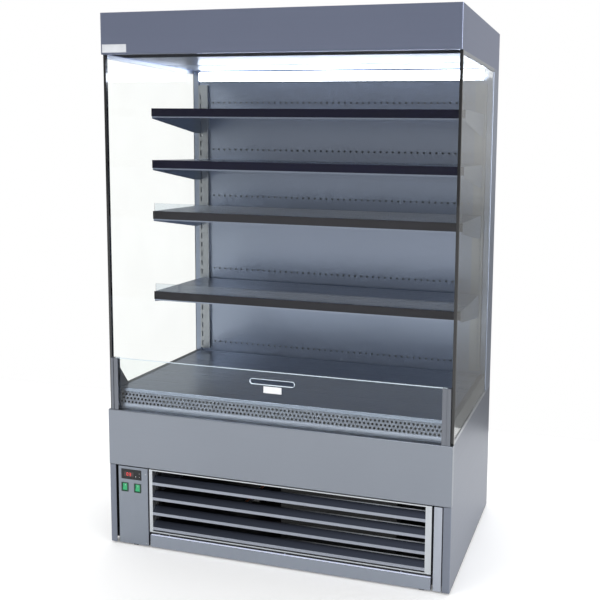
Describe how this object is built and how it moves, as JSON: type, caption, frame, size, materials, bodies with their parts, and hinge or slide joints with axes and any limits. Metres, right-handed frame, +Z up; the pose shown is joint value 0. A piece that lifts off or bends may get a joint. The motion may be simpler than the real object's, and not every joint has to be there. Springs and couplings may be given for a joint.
{
  "type": "open multideck display fridge",
  "caption": "Open-front chilled display cabinet with hooked shelves, air return grille, riser glass, end glass and a built-in condensing unit behind a louvre grille.",
  "frame": {"origin": "on the floor under the middle of the cabinet", "axes": "+Z up, the open front faces -Y, +X to the right seen from the front"},
  "size_m": [1.2, 0.7, 1.8],
  "materials": {
    "stainless": "brushed",
    "galvanised": "satin",
    "satin_aluminium": "satin",
    "aluminium_fins": "satin",
    "copper": "satin",
    "black_enamel": "gloss",
    "black_plastic": "matte",
    "green_plastic": "gloss",
    "ticket_plastic": "gloss",
    "clear_plastic": "clear",
    "lamp_cover": "frosted",
    "liner": "satin",
    "clear_glass": "clear"
  },
  "bodies": {
    "cabinet": {"air_honeycomb": "black_plastic", "air_return_grille": "stainless", "back_wall": "galvanised", "base_sides": "stainless", "canopy_roof": "galvanised", "canopy_shell": "stainless", "canopy_soffit": "stainless", "chassis_frame": "galvanised", "compressor": "black_enamel", "condenser": "aluminium_fins", "control_panel": "stainless", "drain_tray": "galvanised", "end_glass_left": "clear_glass", "end_glass_right": "clear_glass", "end_strip": "stainless", "evaporator_coil": "aluminium_fins", "fan_motors": "black_plastic", "fan_plate": "galvanised", "front_fascia": "stainless", "glass_channels": "satin_aluminium", "glass_edge_trims": "black_plastic", "inner_back_panel": "stainless", "insulated_tub": "liner", "kick_rail": "stainless", "levelling_feet": "black_plastic", "light_batten": "satin_aluminium", "light_diffuser": "lamp_cover", "rear_columns": "stainless", "rear_grille": "galvanised", "refrigerant_pipes": "copper", "riser_posts": "satin_aluminium", "rocker_bodies": "black_plastic", "shelf_uprights": "stainless", "thermostat": "black_plastic"},
    "power_rocker": {"power_rocker": "green_plastic"},
    "light_rocker": {"light_rocker": "green_plastic"},
    "key_up": {"key_up": "black_plastic"},
    "key_down": {"key_down": "black_plastic"},
    "key_set": {"key_set": "black_plastic"},
    "condenser_fan": {"condenser_fan": "aluminium_fins"},
    "evaporator_fan_left": {"evaporator_fan_left": "black_plastic"},
    "evaporator_fan_right": {"evaporator_fan_right": "black_plastic"},
    "riser_glass": {"riser_glass": "clear_glass"},
    "deck_panel": {"deck_panel": "stainless"},
    "louvre_grille": {"louvre_frame": "stainless", "louvre_blades": "stainless"},
    "shelf_1": {"shelf_1_tray": "stainless", "shelf_1_brackets": "stainless", "shelf_1_ticket_strip": "ticket_plastic"},
    "shelf_2": {"shelf_2_tray": "stainless", "shelf_2_brackets": "stainless", "shelf_2_ticket_strip": "ticket_plastic"},
    "shelf_3": {"shelf_3_tray": "stainless", "shelf_3_brackets": "stainless", "shelf_3_ticket_strip": "ticket_plastic", "shelf_3_riser": "clear_plastic"},
    "shelf_4": {"shelf_4_tray": "stainless", "shelf_4_brackets": "stainless", "shelf_4_ticket_strip": "ticket_plastic", "shelf_4_riser": "clear_plastic"}
  },
  "joints": [
    {"name": "power_rocker_tilt", "type": "hinge", "parent": "cabinet", "child": "power_rocker", "pos_m": [-0.543, -0.342, 0.207], "axis": [1, 0, 0], "range_deg": [0, 12]},
    {"name": "light_rocker_tilt", "type": "hinge", "parent": "cabinet", "child": "light_rocker", "pos_m": [-0.494, -0.342, 0.207], "axis": [1, 0, 0], "range_deg": [0, 12]},
    {"name": "key_up_press", "type": "slide", "parent": "cabinet", "child": "key_up", "axis": [0, 1, 0], "range_m": [0, 0.0008], "stiffness_N_per_m": 400},
    {"name": "key_down_press", "type": "slide", "parent": "cabinet", "child": "key_down", "axis": [0, 1, 0], "range_m": [0, 0.0008], "stiffness_N_per_m": 400},
    {"name": "key_set_press", "type": "slide", "parent": "cabinet", "child": "key_set", "axis": [0, 1, 0], "range_m": [0, 0.0008], "stiffness_N_per_m": 400},
    {"name": "condenser_fan_spin", "type": "hinge", "parent": "cabinet", "child": "condenser_fan", "pos_m": [0.21, -0.219, 0.1555], "axis": [0, 1, 0], "continuous": true},
    {"name": "evaporator_fan_left_spin", "type": "hinge", "parent": "cabinet", "child": "evaporator_fan_left", "pos_m": [-0.28, -0.0535, 0.4355], "axis": [0, 1, 0], "continuous": true},
    {"name": "evaporator_fan_right_spin", "type": "hinge", "parent": "cabinet", "child": "evaporator_fan_right", "pos_m": [0.28, -0.0535, 0.4355], "axis": [0, 1, 0], "continuous": true},
    {"name": "riser_glass_lift", "type": "slide", "parent": "cabinet", "child": "riser_glass", "axis": [0, 0, 1], "range_m": [0, 0.17]},
    {"name": "deck_panel_lift", "type": "slide", "parent": "cabinet", "child": "deck_panel", "axis": [0, 0, 1], "range_m": [0, 0.12]},
    {"name": "louvre_grille_pull", "type": "slide", "parent": "cabinet", "child": "louvre_grille", "axis": [0, -1, 0], "range_m": [0, 0.05]},
    {"name": "shelf_1_lift", "type": "slide", "parent": "cabinet", "child": "shelf_1", "axis": [0, 0, 1], "range_m": [0, 0.01]},
    {"name": "shelf_2_lift", "type": "slide", "parent": "cabinet", "child": "shelf_2", "axis": [0, 0, 1], "range_m": [0, 0.01]},
    {"name": "shelf_3_lift", "type": "slide", "parent": "cabinet", "child": "shelf_3", "axis": [0, 0, 1], "range_m": [0, 0.01]},
    {"name": "shelf_4_lift", "type": "slide", "parent": "cabinet", "child": "shelf_4", "axis": [0, 0, 1], "range_m": [0, 0.01]}
  ]
}
